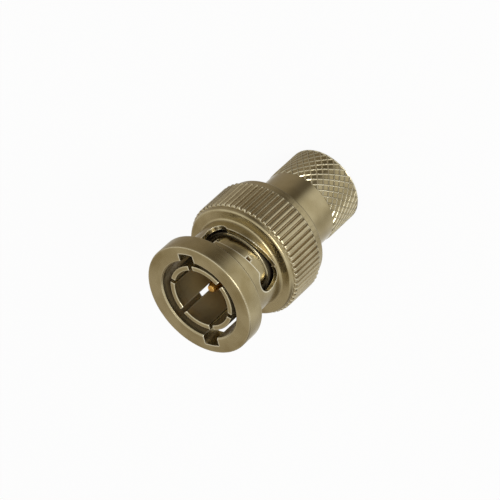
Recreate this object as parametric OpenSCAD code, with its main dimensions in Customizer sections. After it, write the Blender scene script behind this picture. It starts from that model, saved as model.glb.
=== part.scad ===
// Bayonet cable plug: a slotted quarter-turn nut on a sprung body with a slotted outer contact.
// Units are millimetres. The plug stands on its cable end: the origin is the centre of the
// rear face, and +Z runs along the axis to the mating face.
// Depths are measured back from the mating face at rest, as on a maker's drawing.

/* [Overall] */
// Length from the mating face to the cable end
overall_length = 24.2; // [22:0.1:30]

/* [Coupling nut] */
// Length of the nut from its mating face to its rear rim
nut_length = 14.25; // [13.5:0.05:16]
// Outer diameter of the front flange
flange_d = 13.8; // [13:0.1:15]
// Length of the front flange, with its rear chamfer
flange_length = 2.6; // [2:0.1:3.2]
// Chamfer round the front edge of the flange
flange_front_chamfer = 0.15; // [0.1:0.05:0.5]
// Chamfer round the rear edge of the flange
flange_rear_chamfer = 0.4; // [0.1:0.05:0.6]
// Outer diameter of the slotted neck
neck_d = 10.9; // [10.7:0.1:11.2]
// Fillet where the neck meets the collar
neck_fillet = 0.35; // [0.1:0.05:0.4]
// Depth of the front face of the collar
collar_depth = 7.8; // [7.7:0.05:8]
// Diameter of the collar in front of the knurl
collar_d = 13.8; // [13:0.1:14.2]
// Rounding of the front edge of the collar
collar_round = 0.35; // [0.1:0.05:0.4]
// Depth where the straight knurl starts
knurl_depth = 8.85; // [8.6:0.05:9.2]
// Length of the straight knurl
knurl_length = 4.05; // [3:0.05:4.4]
// Diameter over the straight knurl
knurl_d = 14.4; // [14:0.1:15.2]
// Chamfer at both ends of the straight knurl, along the axis
knurl_chamfer = 0.45; // [0.2:0.05:0.5]
// Number of teeth in the straight knurl, even so that both halves match
knurl_teeth = 62; // [40:2:80]
// Height of a knurl tooth
knurl_tooth_height = 0.27; // [0.15:0.01:0.35]
// Diameter of the plain rear rim
rim_d = 13.4; // [13.2:0.1:14]
// Rounding of the rear edge of the rim
rim_round = 0.2; // [0.1:0.05:0.3]
// Length of the lip behind the retaining ring's groove
rear_lip = 0.95; // [0.6:0.05:1.4]
// Diameter of the mouth that passes over the socket
mouth_d = 9.9; // [9.8:0.05:10.1]
// Chamfer at the mouth
mouth_chamfer = 0.15; // [0.05:0.05:0.3]

/* [Cam slots] */
// Diameter across the floors of the two entry channels
channel_d = 11.9; // [11.3:0.1:12.2]
// Width of the channels and cam slots
slot_width = 2.4; // [2.1:0.05:2.5]
// Depth that the entry channels reach
channel_depth = 6.75; // [6.5:0.05:7]
// Depth of the slot's centre line where the ramp leaves the channel
ramp_depth = 5.25; // [5.1:0.05:5.4]
// Depth that the ramp gains over its quarter turn
ramp_gain = 1.05; // [0.6:0.05:1.1]
// Diameter of the locking pocket
pocket_d = 3; // [2.6:0.05:3.1]
// Depth of the centre of the locking pocket
pocket_depth = 5.9; // [5.6:0.05:5.95]

/* [Body] */
// Diameter of the plain barrel
barrel_d = 9.3; // [9.2:0.05:9.5]
// Diameter over the diamond knurl
grip_d = 9.5; // [9.4:0.05:9.8]
// Length of the diamond knurl
grip_length = 4.85; // [3.5:0.05:7]
// Number of helical starts each way in the diamond knurl
grip_starts = 32; // [24:2:40]
// Helix angle of the diamond knurl, from the axis
grip_angle = 42; // [30:1:50]
// Height of the ridges of the diamond knurl over its pits
grip_height = 0.16; // [0.1:0.01:0.3]
// Chamfer at the cable end
end_chamfer = 0.2; // [0.1:0.05:0.35]
// Diameter of the cable bore
cable_bore_d = 7.5; // [6.5:0.1:7.6]
// Depth of the cable bore, from the rear face
cable_bore_length = 7.8; // [5:0.1:8.4]
// Lead-in at the mouth of the cable bore
cable_lead_in = 0.25; // [0.1:0.05:0.35]
// Diameter of the passage for the cable's dielectric
passage_d = 5.2; // [4:0.1:5.6]
// Depth of the body's shoulder, where the seal ring and the contact's collar sit
shoulder_depth = 9.35; // [9.2:0.05:9.5]
// Thickness of the body's shoulder inside the nut
shoulder_thickness = 1.35; // [1:0.05:1.5]
// Diameter of the body's shoulder
shoulder_d = 11.8; // [11.6:0.05:11.9]

/* [Outer contact] */
// Outer diameter of the slotted contact
contact_d = 8.3; // [8.1:0.05:8.4]
// Wall of the slotted contact
contact_wall = 0.6; // [0.4:0.05:0.7]
// Distance from the mating face back to the contact's tip
contact_setback = 0.4; // [0.2:0.05:0.8]
// Rounding chamfer on the tips of the fingers
contact_tip_chamfer = 0.1; // [0.05:0.01:0.2]
// Number of opposite pairs of fingers
finger_pairs = 3; // [2:1:4]
// Width of the slots between the fingers
finger_slot = 0.55; // [0.4:0.05:0.8]
// Length of the slots between the fingers
finger_length = 5.6; // [4:0.1:6.2]
// Turn of the finger slots from the entry channels, degrees
finger_turn = 3.5; // [0:0.5:59]
// Diameter of the collar behind the fingers
contact_collar_d = 8.7; // [8.5:0.05:8.8]
// Length of the collar behind the fingers
contact_collar_length = 2.4; // [1.6:0.05:2.4]
// Length of the contact's shank inside the body
contact_shank_length = 2.65; // [2:0.05:3]

/* [Centre pin and insulator] */
// Diameter of the centre pin
pin_d = 1.35; // [1.2:0.01:1.5]
// Distance from the mating face back to the pin's tip
pin_setback = 2.2; // [1.5:0.1:3]
// Length of the tapered tip of the pin
pin_taper_length = 0.8; // [0.4:0.1:1.2]
// Diameter of the flat at the pin's tip
pin_tip_d = 0.9; // [0.4:0.05:1]
// Chamfer round the flat at the pin's tip
pin_tip_chamfer = 0.12; // [0.02:0.01:0.15]
// Diameter of the pin's shank, pressed into the insulator
pin_shank_d = 1.9; // [1.6:0.05:2.4]
// Length of the pin's shank, which starts flush with the insulator
pin_shank_length = 6.4; // [5:0.1:7.5]
// Bore of the cup for the cable's conductor
pin_cup_d = 1; // [0.8:0.05:1.2]
// Depth of the cup for the cable's conductor
pin_cup_length = 3; // [2:0.1:4]
// Length of the insulator
insulator_length = 4; // [3:0.1:4.6]

/* [Seal and spring pack] */
// Thickness of the seal ring in front of the shoulder
gasket_thickness = 0.8; // [0.5:0.05:1]
// Strip thickness of the wave spring
spring_strip = 0.25; // [0.15:0.01:0.3]
// Number of waves round the spring
spring_waves = 3; // [2:1:4]
// Thickness of the thrust washer
washer_thickness = 0.45; // [0.3:0.05:0.6]
// Thickness of the retaining ring
ring_thickness = 0.55; // [0.4:0.05:0.7]
// Radial width of the retaining ring
ring_width = 0.9; // [0.7:0.05:1]
// Depth of the retaining ring's groove in the nut's wall
groove_height = 0.25; // [0.15:0.05:0.3]
// Angle of the gap in the retaining ring
ring_gap = 36; // [20:1:60]

/* [Fits] */
// Radial clearance of pieces that turn on one another
running_clearance = 0.08; // [0.05:0.01:0.1]
// Axial clearance between faces that turn on one another
face_clearance = 0.05; // [0.02:0.01:0.1]
// Radial clearance of the seal ring inside the nut's mouth
seal_clearance = 0.16; // [0.08:0.01:0.25]
// Radial clearance of the washers round the barrel
washer_clearance = 0.1; // [0.05:0.01:0.2]

/* [Hidden] */
$fn = 96;
overcut = 0.5;
quarter_turn = 90;
ramp_steps = 6;
drill_half_angle = 59;
spring_stations = 72;

// Radii
mouth_r = mouth_d / 2;
flange_r = flange_d / 2;
neck_r = neck_d / 2;
collar_r = collar_d / 2;
knurl_r = knurl_d / 2;
rim_r = rim_d / 2;
channel_r = channel_d / 2;
shoulder_r = shoulder_d / 2;
chamber_r = shoulder_r + running_clearance;
groove_r = chamber_r + groove_height;
barrel_r = barrel_d / 2;
grip_r = grip_d / 2;
grip_root_r = grip_r - grip_height;
cable_bore_r = cable_bore_d / 2;
passage_r = passage_d / 2;
contact_r = contact_d / 2;
contact_bore_r = contact_r - contact_wall;
contact_collar_r = contact_collar_d / 2;
spring_inner_r = barrel_r + washer_clearance;
spring_outer_r = shoulder_r - washer_clearance;
pin_r = pin_d / 2;
pin_shank_r = pin_shank_d / 2;
pin_tip_r = pin_tip_d / 2;

// Depths behind the mating face, down the stack inside the nut
knurl_end = knurl_depth + knurl_length;
chamber_depth = shoulder_depth - face_clearance;
spring_depth = shoulder_depth + shoulder_thickness;
groove_end = nut_length - rear_lip;
ring_depth = groove_end - ring_thickness;
washer_depth = ring_depth - face_clearance - washer_thickness;
spring_height = washer_depth - spring_depth;
shank_end = shoulder_depth + contact_shank_length;
insulator_depth = shank_end - insulator_length;
cable_bore_end = overall_length - cable_bore_length;

// Reach of the slot cutters through the neck's wall, and how far their passes overlap
slot_cut = neck_r - mouth_r + 2 * overcut;
pass_overlap = slot_width / 8;

// The diamond knurl is a lattice of half cells: pits and crossings of its ridges alternate both ways
grip_columns = 2 * grip_starts;
grip_top = end_chamfer + grip_length;
grip_row_target = PI * grip_r / grip_starts / tan(grip_angle);
grip_rows = max(2, round(grip_length / grip_row_target));
grip_row = grip_length / grip_rows;
grip_rings = grip_rows + 3;

// Revolves an outline of [radius, depth behind the mating face] points
module turned(outline) {
  translate([0, 0, overall_length])
    mirror([0, 0, 1])
      rotate_extrude()
        polygon(outline);
}

// Plain ring between two radii, starting at a depth
module turned_ring(inner_r, outer_r, depth, thickness) {
  turned([
    [inner_r, depth],
    [outer_r, depth],
    [outer_r, depth + thickness],
    [inner_r, depth + thickness]
  ]);
}

// Points of an arc in an outline
function arc_points(centre, radius, from_angle, to_angle, steps = 4) = [
  for (i = [0 : steps])
    let (angle = from_angle + (to_angle - from_angle) * i / steps)
      centre + radius * [cos(angle), sin(angle)]
];

// Outline of the nut before its slots and knurl are cut, from the mouth round to the chamber
function nut_outline() = concat(
  [
    [mouth_r, mouth_chamfer],
    [mouth_r + mouth_chamfer, 0],
    [flange_r - flange_front_chamfer, 0],
    [flange_r, flange_front_chamfer],
    [flange_r, flange_length - flange_rear_chamfer],
    [flange_r - flange_rear_chamfer, flange_length],
    [neck_r, flange_length]
  ],
  arc_points([neck_r + neck_fillet, collar_depth - neck_fillet], neck_fillet, 180, 90),
  arc_points([collar_r - collar_round, collar_depth + collar_round], collar_round, -90, 0),
  [
    [collar_r, knurl_depth - knurl_chamfer],
    [knurl_r, knurl_depth],
    [knurl_r, knurl_end],
    [rim_r, knurl_end + knurl_chamfer]
  ],
  arc_points([rim_r - rim_round, nut_length - rim_round], rim_round, 0, 90),
  [
    [chamber_r, nut_length],
    [chamber_r, groove_end],
    [groove_r, groove_end],
    [groove_r, ring_depth],
    [chamber_r, ring_depth],
    [chamber_r, chamber_depth],
    [mouth_r, chamber_depth]
  ]
);

// Depth of the cam slot's centre line at an angle past the entry channel
function cam_depth(angle) = ramp_depth + ramp_gain * pow(angle / quarter_turn, 2);

// One straight pass of the slot cutter, square to the wall at its middle
module cam_pass(from_angle, to_angle) {
  run = 2 * neck_r * sin((to_angle - from_angle) / 2);
  gain = cam_depth(to_angle) - cam_depth(from_angle);
  pass_length = norm([run, gain]) + 2 * pass_overlap;
  middle_depth = (cam_depth(to_angle) + cam_depth(from_angle)) / 2;
  rotate([0, 0, -(from_angle + to_angle) / 2])
    translate([mouth_r - overcut, 0, overall_length - middle_depth])
      rotate([atan2(gain, run), 0, 0])
        translate([0, -pass_length / 2, -slot_width / 2])
          cube([slot_cut, pass_length, slot_width]);
}

// Round hole through the neck's wall, at an angle past the entry channel
module neck_hole(angle, depth, diameter) {
  rotate([0, 0, -angle])
    translate([mouth_r - overcut, 0, overall_length - depth])
      rotate([0, 90, 0])
        cylinder(d = diameter, h = slot_cut);
}

// Cam slot of one lug: a ramp round the neck to a round pocket that locks it
module cam_slot() {
  ramp_end = quarter_turn - asin(slot_width / 2 / neck_r) / 2;
  for (i = [0 : ramp_steps - 1])
    cam_pass(ramp_end * i / ramp_steps, ramp_end * (i + 1) / ramp_steps);
  neck_hole(quarter_turn, pocket_depth, pocket_d);
}

// Both entry channels, from the mating face to their round ends
module entry_channels() {
  end_depth = channel_depth - slot_width / 2;
  intersection() {
    union() {
      translate([-flange_d / 2, -slot_width / 2, overall_length - end_depth])
        cube([flange_d, slot_width, end_depth + overcut]);
      translate([-flange_d / 2, 0, overall_length - end_depth])
        rotate([0, 90, 0])
          cylinder(d = slot_width, h = flange_d);
    }
    translate([0, 0, overall_length - collar_depth])
      cylinder(r = channel_r, h = collar_depth + overcut);
  }
}

// One V groove of the straight knurl, on the +X side
module knurl_groove() {
  translate([0, 0, overall_length - knurl_end - knurl_chamfer - overcut])
    linear_extrude(knurl_length + 2 * (knurl_chamfer + overcut))
      polygon([
        [knurl_r - knurl_tooth_height, 0],
        [knurl_r + overcut, -knurl_tooth_height - overcut],
        [knurl_r + overcut, knurl_tooth_height + overcut]
      ]);
}

// Turned, knurled and slotted nut that draws the plug onto its socket
module coupling_nut() {
  color("DarkKhaki")
    difference() {
      turned(nut_outline());
      entry_channels();
      for (side = [0, 180])
        rotate([0, 0, side])
          cam_slot();
      for (tooth = [0 : knurl_teeth - 1])
        rotate([0, 0, (tooth + 0.5) * 360 / knurl_teeth])
          knurl_groove();
    }
}

// Open spring ring in the nut's groove, which holds the spring pack in
module retaining_ring() {
  color("SlateGray")
    difference() {
      turned_ring(groove_r - ring_width, groove_r, ring_depth, ring_thickness);
      gap = 2 * groove_r * sin(ring_gap / 2);
      translate([0, -gap / 2, overall_length - groove_end - overcut])
        cube([groove_r + overcut, gap, ring_thickness + 2 * overcut]);
    }
}

// Flat washer between the wave spring and the retaining ring
module thrust_washer() {
  color("Silver")
    turned_ring(barrel_r + washer_clearance, shoulder_r, washer_depth, washer_thickness);
}

// Corners of the wave spring's strip at one station: inner and outer, bottom then top
function spring_corners(angle) =
  let (
    swing = (spring_height - spring_strip) / 2,
    middle = overall_length - spring_depth - spring_height / 2 + swing * cos(spring_waves * angle)
  )
  [
    for (height = [-spring_strip / 2, spring_strip / 2], r = [spring_inner_r, spring_outer_r])
      [r * cos(angle), r * sin(angle), middle + height]
  ];

// Wavy ring of spring strip between the body's shoulder and the thrust washer
module wave_spring() {
  points = [
    for (i = [0 : spring_stations - 1])
      each spring_corners(i * 360 / spring_stations)
  ];
  // Corner order round the strip, seen along the ring: each pair is one side of it
  sides = [[0, 1], [1, 3], [3, 2], [2, 0]];
  faces = [
    for (i = [0 : spring_stations - 1], side = sides)
      let (here = 4 * i, next = 4 * ((i + 1) % spring_stations))
        each [
          [here + side[0], here + side[1], next + side[1]],
          [here + side[0], next + side[1], next + side[0]]
        ]
  ];
  color("LightSteelBlue")
    polyhedron(points, faces);
}

// Index of a corner of the cable end's lattice, ring by ring from the rear face
function grip_index(column, ring) = ring * grip_columns + column % grip_columns;

// Height of a ring: the rear face, the rows of the knurl, then one ring buried in the barrel
function grip_ring_z(ring) =
  ring == 0 ? 0 :
  ring == grip_rings - 1 ? grip_top + overcut :
  end_chamfer + (ring - 1) * grip_row;

// Radius of a corner: pits and crossings alternate, and the outer rings are plain
function grip_corner_r(column, ring) =
  ring == 0 ? grip_root_r - end_chamfer :
  ring < grip_rings - 2 && (column + ring) % 2 == 1 ? grip_r :
  grip_root_r;

// The two triangles of one half cell, split along the ridge between two crossings
function grip_cell(column, ring) =
  let (
    a = grip_index(column, ring),
    b = grip_index(column + 1, ring),
    c = grip_index(column + 1, ring + 1),
    d = grip_index(column, ring + 1)
  )
  (column + ring) % 2 == 0 ? [[a, d, b], [b, d, c]] : [[a, c, b], [a, d, c]];

// Cable end with a diamond knurl: two sets of helical ridges that cross, with pits between
module diamond_grip() {
  lattice = [
    for (ring = [0 : grip_rings - 1], column = [0 : grip_columns - 1])
      let (
        r = grip_corner_r(column, ring),
        angle = column * 360 / grip_columns
      )
      [r * cos(angle), r * sin(angle), grip_ring_z(ring)]
  ];
  bottom = len(lattice);
  top = bottom + 1;
  points = concat(lattice, [[0, 0, grip_ring_z(0)], [0, 0, grip_ring_z(grip_rings - 1)]]);
  faces = concat(
    [
      for (ring = [0 : grip_rings - 2], column = [0 : grip_columns - 1])
        each grip_cell(column, ring)
    ],
    [
      for (column = [0 : grip_columns - 1])
        [bottom, grip_index(column, 0), grip_index(column + 1, 0)]
    ],
    [
      for (column = [0 : grip_columns - 1])
        [top, grip_index(column + 1, grip_rings - 1), grip_index(column, grip_rings - 1)]
    ]
  );
  polyhedron(points, faces);
}

// Outline of everything cut away inside the body, from the contact's seat to the cable end
function body_bore_outline() = [
  [0, shoulder_depth - overcut],
  [contact_r, shoulder_depth - overcut],
  [contact_r, shank_end],
  [passage_r, shank_end],
  [passage_r, cable_bore_end - (cable_bore_r - passage_r) / tan(drill_half_angle)],
  [cable_bore_r, cable_bore_end],
  [cable_bore_r, overall_length - cable_lead_in],
  [cable_bore_r + cable_lead_in + overcut, overall_length + overcut],
  [0, overall_length + overcut]
];

// Turned body: shoulder inside the nut, plain barrel and knurled cable end
module body() {
  color("Khaki")
    difference() {
      union() {
        turned([
          [0, shoulder_depth],
          [shoulder_r, shoulder_depth],
          [shoulder_r, spring_depth],
          [barrel_r, spring_depth],
          [barrel_r, overall_length - grip_top],
          [0, overall_length - grip_top]
        ]);
        diamond_grip();
      }
      turned(body_bore_outline());
    }
}

// Springy slotted tube that grips inside the socket
module outer_contact() {
  tip = contact_setback;
  seat = shoulder_depth - contact_collar_length;
  step = contact_collar_r - contact_r;
  color("Wheat")
    difference() {
      turned([
        [contact_bore_r, tip + contact_tip_chamfer],
        [contact_bore_r + contact_tip_chamfer, tip],
        [contact_r - contact_tip_chamfer, tip],
        [contact_r, tip + contact_tip_chamfer],
        [contact_r, seat],
        [contact_collar_r, seat + step],
        [contact_collar_r, shoulder_depth],
        [contact_r, shoulder_depth],
        [contact_r, shank_end],
        [contact_bore_r, shank_end]
      ]);
      for (slot = [0 : finger_pairs - 1])
        rotate([0, 0, finger_turn + slot * 180 / finger_pairs])
          translate([-contact_d, -finger_slot / 2, overall_length - tip - finger_length])
            cube([2 * contact_d, finger_slot, finger_length + overcut]);
    }
}

// Soft seal that the end of the socket presses on
module gasket() {
  color("DimGray")
    turned_ring(
      contact_collar_r,
      mouth_r - seal_clearance,
      shoulder_depth - gasket_thickness,
      gasket_thickness
    );
}

// Bead pressed into the contact, which holds the centre pin on the axis
module insulator() {
  color("White")
    turned_ring(pin_shank_r, contact_bore_r, insulator_depth, insulator_length);
}

// Tapered contact pin with a cup for the cable's conductor
module centre_pin() {
  pin_end = insulator_depth + pin_shank_length;
  color("Gold")
    difference() {
      turned([
        [0, pin_setback],
        [pin_tip_r - pin_tip_chamfer, pin_setback],
        [pin_tip_r, pin_setback + pin_tip_chamfer],
        [pin_r, pin_setback + pin_taper_length],
        [pin_r, insulator_depth],
        [pin_shank_r, insulator_depth],
        [pin_shank_r, pin_end],
        [0, pin_end]
      ]);
      translate([0, 0, overall_length - pin_end - overcut])
        cylinder(d = pin_cup_d, h = pin_cup_length + overcut);
    }
}

coupling_nut();
retaining_ring();
thrust_washer();
wave_spring();
body();
outer_contact();
gasket();
insulator();
centre_pin();
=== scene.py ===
"""Dresses a packed bayonet cable plug: turned, slotted and knurled pieces with plated finishes.

Sizes are in millimetres while a piece is modelled, as on the drawing, and each piece is brought to
metres once, when it is finished. Depths run back from the mating face, along -Z.
"""

import logging
import math
from collections.abc import Callable, Iterator, Sequence
from contextlib import contextmanager
from dataclasses import dataclass, replace
from enum import Enum
from functools import partial

import bmesh
import bpy
from mathutils import Matrix, Vector

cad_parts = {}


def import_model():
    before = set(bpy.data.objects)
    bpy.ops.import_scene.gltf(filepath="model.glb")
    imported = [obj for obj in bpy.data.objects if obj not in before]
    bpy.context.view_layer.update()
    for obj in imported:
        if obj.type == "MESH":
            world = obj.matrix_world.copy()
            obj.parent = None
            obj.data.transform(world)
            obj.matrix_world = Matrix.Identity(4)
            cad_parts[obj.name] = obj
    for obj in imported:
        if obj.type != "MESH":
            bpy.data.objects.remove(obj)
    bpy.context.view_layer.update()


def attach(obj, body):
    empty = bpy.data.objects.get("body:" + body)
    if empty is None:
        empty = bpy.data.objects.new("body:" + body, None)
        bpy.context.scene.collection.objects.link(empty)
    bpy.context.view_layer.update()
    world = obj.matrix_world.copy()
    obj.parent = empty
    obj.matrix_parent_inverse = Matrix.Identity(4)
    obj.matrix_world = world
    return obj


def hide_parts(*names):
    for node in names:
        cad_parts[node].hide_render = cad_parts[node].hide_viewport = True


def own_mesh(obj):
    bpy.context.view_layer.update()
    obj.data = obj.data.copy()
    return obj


LOG = logging.getLogger("plug")
MM = 0.001
# Overall length of the plug
LENGTH = 24.2
FULL_TURN = 2 * math.pi
QUARTER_TURN = math.pi / 2
# Points closer than this are one point
MERGE = 1e-4
CENTRE = (0.0, 0.0, 0.0)
WHITE = (1.0, 1.0, 1.0, 1.0)
# Steps of a small ring in a full turn, a multiple of twice the waves of the spring
RING_STEPS = 96
Point = tuple[float, float]
Outline = Sequence[Point]
Colour = tuple[float, float, float, float]
Socket = bpy.types.NodeSocket
Tree = bpy.types.NodeTree
Material = bpy.types.Material
Piece = bpy.types.Object


class Body(str, Enum):
    """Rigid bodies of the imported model."""

    PLUG = "plug_body"
    WASHER = "spring_washer"
    NUT = "nut"


class Slot(str, Enum):
    """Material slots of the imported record."""

    NICKEL = "nickel_plated_brass"
    GOLD = "gold_plated_brass"
    SPRING = "spring_steel"
    RUBBER = "silicone_rubber"
    PTFE = "white_ptfe"


class Cut(str, Enum):
    """What is done to a piece in the shape of its cutter."""

    REMOVE = "DIFFERENCE"
    KEEP = "INTERSECT"


class Element(str, Enum):
    """Elements of a mesh, by their names in edit mode."""

    POINT = "VERT"
    EDGE = "EDGE"
    FACE = "FACE"


def linear(colour: str) -> Colour:
    """Turns an sRGB hex colour into linear light.

    Args:
        colour: Six hex digits, such as "c8b48c".

    Returns:
        Linear red, green and blue, with full alpha.
    """
    values = [int(colour[i : i + 2], 16) / 255 for i in (0, 2, 4)]
    red, green, blue = (v / 12.92 if v <= 0.04045 else ((v + 0.055) / 1.055) ** 2.4 for v in values)
    return red, green, blue, 1.0


def direction(around_deg: float, above_deg: float) -> Vector:
    """Gives the direction at an angle round the axis and a height above the horizon."""
    around, above = math.radians(around_deg), math.radians(above_deg)
    return Vector((math.cos(around) * math.cos(above), math.sin(around) * math.cos(above), math.sin(above)))


def add_node(
    tree: Tree,
    kind: str,
    settings: dict[str, object] | None = None,
    inputs: dict[str | int, object] | None = None,
) -> bpy.types.Node:
    """Adds a shader node with its settings and links.

    Args:
        tree: Node tree that gets the node.
        kind: Node type without its ShaderNode prefix.
        settings: Properties set on the node itself.
        inputs: Socket values by name or index; an output socket is linked instead.

    Returns:
        The new node.
    """
    node = tree.nodes.new("ShaderNode" + kind)
    for name, value in (settings or {}).items():
        setattr(node, name, value)
    for key, value in (inputs or {}).items():
        if isinstance(value, Socket):
            tree.links.new(value, node.inputs[key])
        else:
            node.inputs[key].default_value = value
    return node


def new_tree(name: str) -> tuple[Material, Tree]:
    """Makes a material with an empty node tree.

    Args:
        name: Name of the material.

    Returns:
        The material and its tree.
    """
    material = bpy.data.materials.new(name)
    material.use_nodes = True
    material.node_tree.nodes.clear()
    return material, material.node_tree


def deselect() -> None:
    """Leaves nothing selected, in object mode."""
    if bpy.context.object and bpy.context.object.mode != "OBJECT":
        bpy.ops.object.mode_set(mode="OBJECT")
    bpy.ops.object.select_all(action="DESELECT")


def activate(piece: Piece) -> None:
    """Makes a piece the only selected object, and the active one.

    Args:
        piece: Object to work on.
    """
    deselect()
    piece.select_set(True)
    bpy.context.view_layer.objects.active = piece


def primitive(add: Callable[..., set[str]], **settings: object) -> Piece:
    """Adds a primitive to start a shape from, with nothing else selected.

    Args:
        add: Operator that adds it.
        **settings: Settings of the operator. Without a location it stands at the centre.

    Returns:
        The new object.
    """
    deselect()
    add(**{"location": CENTRE, **settings})
    return bpy.context.object


@contextmanager
def editing(piece: Piece) -> Iterator[None]:
    """Opens a piece in edit mode, and closes it again.

    Args:
        piece: Mesh object to edit.

    Yields:
        Nothing; the piece is in edit mode meanwhile.
    """
    activate(piece)
    bpy.ops.object.mode_set(mode="EDIT")
    bpy.ops.mesh.select_mode(type="VERT")
    yield
    bpy.ops.object.mode_set(mode="OBJECT")


def select(element: Element, test: Callable[..., bool]) -> None:
    """Selects the elements of the mesh in edit mode whose corners pass a test of their places.

    Args:
        element: Kind of element to select.
        test: Takes the places of an element's corners, and tells whether it is selected.
    """
    bpy.ops.mesh.select_all(action="DESELECT")
    bpy.ops.mesh.select_mode(type=element.value)
    mesh = bpy.context.object.data
    form = bmesh.from_edit_mesh(mesh)
    items = {Element.POINT: form.verts, Element.EDGE: form.edges, Element.FACE: form.faces}
    for item in items[element]:
        corners = [item] if element is Element.POINT else item.verts
        item.select = test(*[corner.co for corner in corners])
    form.select_flush_mode()
    bmesh.update_edit_mesh(mesh)


def turn_selection(angle: float, axis: str = "Z") -> None:
    """Turns the selection in edit mode about an axis, anticlockwise seen from its positive end.

    With no window the rotate operator turns the other way, so the angle is negated.

    Args:
        angle: Angle in radians.
        axis: Axis through the centre.
    """
    bpy.ops.transform.rotate(value=-angle, orient_axis=axis, center_override=CENTRE)


def tidy_shell() -> None:
    """Merges doubled points of the mesh in edit mode and turns its faces outwards."""
    bpy.ops.mesh.select_all(action="SELECT")
    bpy.ops.mesh.remove_doubles(threshold=MERGE)
    bpy.ops.mesh.dissolve_degenerate(threshold=MERGE)
    bpy.ops.mesh.select_all(action="SELECT")
    bpy.ops.mesh.normals_make_consistent(inside=False)


def turn(name: str, outline: Outline, steps: int, start: float = 0.0, closed: bool = True) -> Piece:
    """Draws a turned section point by point and spins it round the axis.

    Args:
        name: Name of the piece.
        outline: Points of [radius, depth behind the mating face].
        steps: Steps of the spin in a full turn.
        start: Angle of the drawn section round the axis, in radians.
        closed: Whether the last point joins the first, as on a ring.

    Returns:
        The turned piece.
    """
    places = [Vector((r * math.cos(start), r * math.sin(start), LENGTH - depth)) for r, depth in outline]
    piece = primitive(bpy.ops.mesh.primitive_plane_add, size=1)
    piece.name = name
    with editing(piece):
        bpy.ops.mesh.merge(type="CENTER")
        bpy.ops.transform.translate(value=places[0])
        for here, there in zip(places, places[1:]):
            bpy.ops.mesh.extrude_vertices_move(TRANSFORM_OT_translate={"value": there - here})
        if closed:
            ends = (places[0], places[-1])
            select(Element.POINT, lambda co: any((co - end).length < MERGE for end in ends))
            bpy.ops.mesh.edge_face_add()
        bpy.ops.mesh.select_all(action="SELECT")
        bpy.ops.mesh.spin(
            steps=steps, angle=FULL_TURN, center=CENTRE, axis=(0, 0, 1), use_auto_merge=False
        )
        tidy_shell()
    return piece


def arc(centre: Point, radius: float, start: float, end: float, steps: int = 4) -> list[Point]:
    """Gives the points of an arc in an outline.

    Args:
        centre: Centre of the arc, as [radius, depth].
        radius: Radius of the arc.
        start: First angle in degrees, from the radius direction towards depth.
        end: Last angle in degrees.
        steps: Number of steps.

    Returns:
        Outline points, ends included.
    """
    angles = [math.radians(start + (end - start) * i / steps) for i in range(steps + 1)]
    return [(centre[0] + radius * math.cos(a), centre[1] + radius * math.sin(a)) for a in angles]


def cut(piece: Piece, cutter: Piece, how: Cut = Cut.REMOVE) -> None:
    """Applies a Boolean of a cutter to a piece and clears the cutter away.

    Args:
        piece: Piece that is changed.
        cutter: Closed shape, removed afterwards.
        how: What is done in its shape.
    """
    activate(piece)
    bpy.ops.object.modifier_add(type="BOOLEAN")
    modifier = piece.modifiers[-1]
    modifier.operation, modifier.object, modifier.solver = how.value, cutter, "EXACT"
    modifier.use_self = how is Cut.REMOVE
    bpy.ops.object.modifier_apply(modifier=modifier.name)
    bpy.data.objects.remove(cutter)


def saw(piece: Piece, size: Sequence[float], location: Sequence[float], angle: float = 0.0) -> None:
    """Cuts a box out of a piece.

    Args:
        piece: Piece that is changed.
        size: Widths of the box.
        location: Middle of the box.
        angle: Turn of the box about the axis, in radians.
    """
    box = primitive(bpy.ops.mesh.primitive_cube_add, size=1, location=location, rotation=(0, 0, angle))
    box.scale = size
    cut(piece, box)


def soften(piece: Piece, width: float, sharp_deg: float = 50) -> None:
    """Breaks the sharp edges that a cut has left.

    Args:
        piece: Piece with cuts in it.
        width: Width of the broken edges.
        sharp_deg: Angle between two faces from which their edge counts as sharp.
    """
    activate(piece)
    bpy.ops.object.modifier_add(type="BEVEL")
    bevel = piece.modifiers[-1]
    bevel.width, bevel.segments, bevel.limit_method = width, 2, "ANGLE"
    bevel.angle_limit = math.radians(sharp_deg)
    bevel.use_clamp_overlap = True
    bpy.ops.object.modifier_apply(modifier=bevel.name)


def dress(piece: Piece, *materials: Material) -> None:
    """Gives a piece its materials, of which the first covers it all over.

    Args:
        piece: Piece to dress.
        *materials: Its materials, in the order of their slots.
    """
    piece.data.materials.clear()
    for material in materials:
        piece.data.materials.append(material)


def place(piece: Piece, node: str, body: Body, smooth_deg: float = 32) -> None:
    """Brings a finished piece to metres and puts it on its body in place of a CAD node.

    Args:
        piece: Piece modelled in millimetres, already dressed.
        node: CAD node that it stands for.
        body: Body that it rides on.
        smooth_deg: Faces that meet at less than this angle are shaded as one.
    """
    activate(piece)
    bpy.ops.object.shade_smooth_by_angle(angle=math.radians(smooth_deg))
    piece.scale = (MM, MM, MM)
    bpy.ops.object.transform_apply(location=True, rotation=True, scale=True)
    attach(piece, body.value)
    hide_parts(node)
    LOG.info("%s: %d faces on %s", piece.name, len(piece.data.polygons), body.value)


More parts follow.
